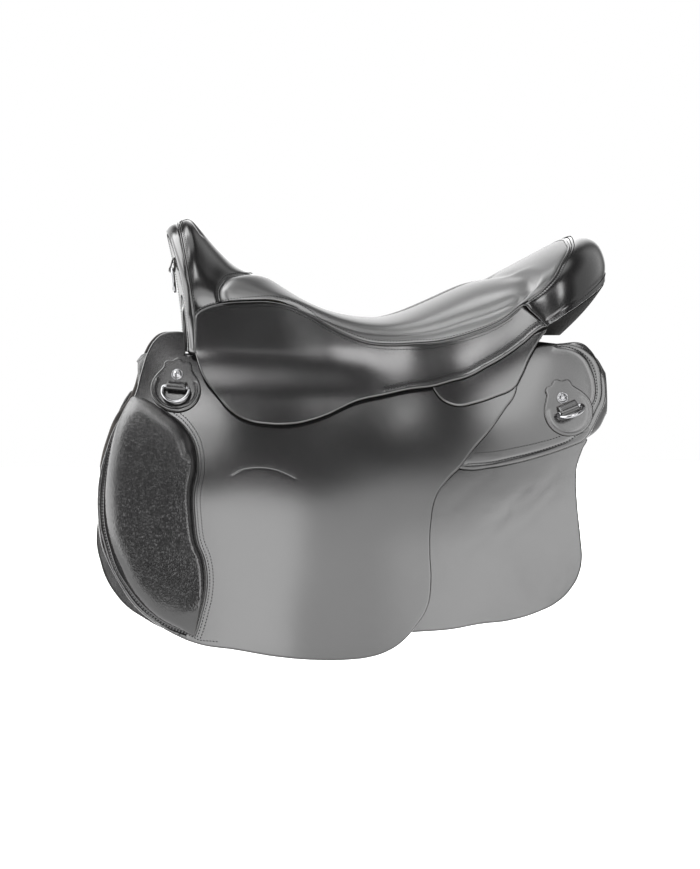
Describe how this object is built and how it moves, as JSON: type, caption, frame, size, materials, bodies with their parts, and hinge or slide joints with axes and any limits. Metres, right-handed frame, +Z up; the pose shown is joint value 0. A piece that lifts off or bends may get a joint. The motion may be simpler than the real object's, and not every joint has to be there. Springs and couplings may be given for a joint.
{
  "type": "trail saddle",
  "caption": "Leather trail saddle on a wooden tree: padded seat, skirts, long flaps with knee rolls, sweat flaps, flocked panels and hanging D rings.",
  "frame": {"origin": "on the saddle's middle plane, where the horse's spine passes under the gullet channel, below the middle of the seat", "axes": "+X from the pommel to the cantle, -Y to the horse's left side, +Z up"},
  "size_m": [0.6086, 0.4216, 0.4931],
  "materials": {
    "leather": "satin",
    "soft_leather": "satin",
    "foam": "matte",
    "wood": "satin",
    "steel": "satin",
    "chrome": "polished"
  },
  "bodies": {
    "saddle": {"pommel_cover": "leather", "pommel_facing": "leather", "cantle_cover": "leather", "cantle_back": "leather", "pommel_ring_chape": "leather", "rear_facing_left": "leather", "flap_head_left": "leather", "rear_jockey_left": "leather", "rosette_front_left": "leather", "rosette_rear_left": "leather", "ring_chape_front_left": "leather", "ring_chape_rear_left": "leather", "rear_facing_right": "leather", "flap_head_right": "leather", "rear_jockey_right": "leather", "rosette_front_right": "leather", "rosette_rear_right": "leather", "ring_chape_front_right": "leather", "ring_chape_rear_right": "leather", "seat_cover": "soft_leather", "channel_lining": "soft_leather", "sweat_flap_left": "soft_leather", "panel_left": "soft_leather", "sweat_flap_right": "soft_leather", "panel_right": "soft_leather", "seat_foam": "foam", "tree": "wood", "gullet_plate": "steel", "stirrup_bar_left": "steel", "stirrup_bar_right": "steel", "rosette_screw_front_left": "chrome", "rosette_screw_rear_left": "chrome", "rosette_screw_front_right": "chrome", "rosette_screw_rear_right": "chrome"},
    "pommel_ring": {"pommel_ring": "chrome"},
    "flap_left": {"flap_left": "leather", "knee_roll_left": "soft_leather"},
    "skirt_left": {"skirt_left": "leather"},
    "d_ring_front_left": {"d_ring_front_left": "chrome"},
    "d_ring_rear_left": {"d_ring_rear_left": "chrome"},
    "billet_front_left": {"billet_front_left": "leather"},
    "billet_rear_left": {"billet_rear_left": "leather"},
    "stirrup_catch_left": {"stirrup_catch_left": "steel"},
    "flap_right": {"flap_right": "leather", "knee_roll_right": "soft_leather"},
    "skirt_right": {"skirt_right": "leather"},
    "d_ring_front_right": {"d_ring_front_right": "chrome"},
    "d_ring_rear_right": {"d_ring_rear_right": "chrome"},
    "billet_front_right": {"billet_front_right": "leather"},
    "billet_rear_right": {"billet_rear_right": "leather"},
    "stirrup_catch_right": {"stirrup_catch_right": "steel"}
  },
  "joints": [
    {"name": "flap_lift_left", "type": "hinge", "parent": "saddle", "child": "flap_left", "pos_m": [-0.065, -0.14665, -0.0175], "axis": [-0.9925, 0.1058, 0.0605], "range_deg": [0, 62]},
    {"name": "skirt_lift_left", "type": "hinge", "parent": "saddle", "child": "skirt_left", "pos_m": [0, -0.1035, 0.131], "axis": [-0.9916, 0.1292, 0], "range_deg": [0, 74]},
    {"name": "front_ring_swing_left", "type": "hinge", "parent": "saddle", "child": "d_ring_front_left", "pos_m": [-0.21119, -0.11911, 0.03148], "axis": [-0.9703, 0.2227, 0.0941], "range_deg": [-4, 110]},
    {"name": "rear_ring_swing_left", "type": "hinge", "parent": "saddle", "child": "d_ring_rear_left", "pos_m": [0.22988, -0.16144, 0.00578], "axis": [-0.9288, -0.0027, -0.3706], "range_deg": [-62, 50]},
    {"name": "front_billet_swing_left", "type": "hinge", "parent": "saddle", "child": "billet_front_left", "pos_m": [-0.122, -0.10616, 0.042], "axis": [-0.0707, -0.8884, 0.4536], "range_deg": [-5, 5]},
    {"name": "rear_billet_swing_left", "type": "hinge", "parent": "saddle", "child": "billet_rear_left", "pos_m": [-0.008, -0.11157, 0.042], "axis": [-0.0462, -0.8852, 0.463], "range_deg": [-5, 5]},
    {"name": "catch_turn_left", "type": "hinge", "parent": "saddle", "child": "stirrup_catch_left", "pos_m": [-0.07032, -0.09753, 0.08427], "axis": [-0.0544, -0.8683, 0.493], "range_deg": [0, 80]},
    {"name": "flap_lift_right", "type": "hinge", "parent": "saddle", "child": "flap_right", "pos_m": [-0.065, 0.14665, -0.0175], "axis": [0.9925, 0.1058, -0.0605], "range_deg": [0, 62]},
    {"name": "skirt_lift_right", "type": "hinge", "parent": "saddle", "child": "skirt_right", "pos_m": [0, 0.1035, 0.131], "axis": [0.9916, 0.1292, 0], "range_deg": [0, 74]},
    {"name": "front_ring_swing_right", "type": "hinge", "parent": "saddle", "child": "d_ring_front_right", "pos_m": [-0.21119, 0.11911, 0.03148], "axis": [0.9703, 0.2227, -0.0941], "range_deg": [-4, 110]},
    {"name": "rear_ring_swing_right", "type": "hinge", "parent": "saddle", "child": "d_ring_rear_right", "pos_m": [0.22988, 0.16144, 0.00578], "axis": [0.9288, -0.0027, 0.3706], "range_deg": [-62, 50]},
    {"name": "front_billet_swing_right", "type": "hinge", "parent": "saddle", "child": "billet_front_right", "pos_m": [-0.122, 0.10616, 0.042], "axis": [-0.0707, 0.8884, 0.4536], "range_deg": [-5, 5]},
    {"name": "rear_billet_swing_right", "type": "hinge", "parent": "saddle", "child": "billet_rear_right", "pos_m": [-0.008, 0.11157, 0.042], "axis": [-0.0462, 0.8852, 0.463], "range_deg": [-5, 5]},
    {"name": "catch_turn_right", "type": "hinge", "parent": "saddle", "child": "stirrup_catch_right", "pos_m": [-0.07032, 0.09753, 0.08427], "axis": [0.0544, -0.8683, -0.493], "range_deg": [0, 80]},
    {"name": "pommel_ring_swing", "type": "hinge", "parent": "saddle", "child": "pommel_ring", "pos_m": [-0.21185, 0, 0.167], "axis": [0, 1, 0], "range_deg": [0, 120]}
  ]
}
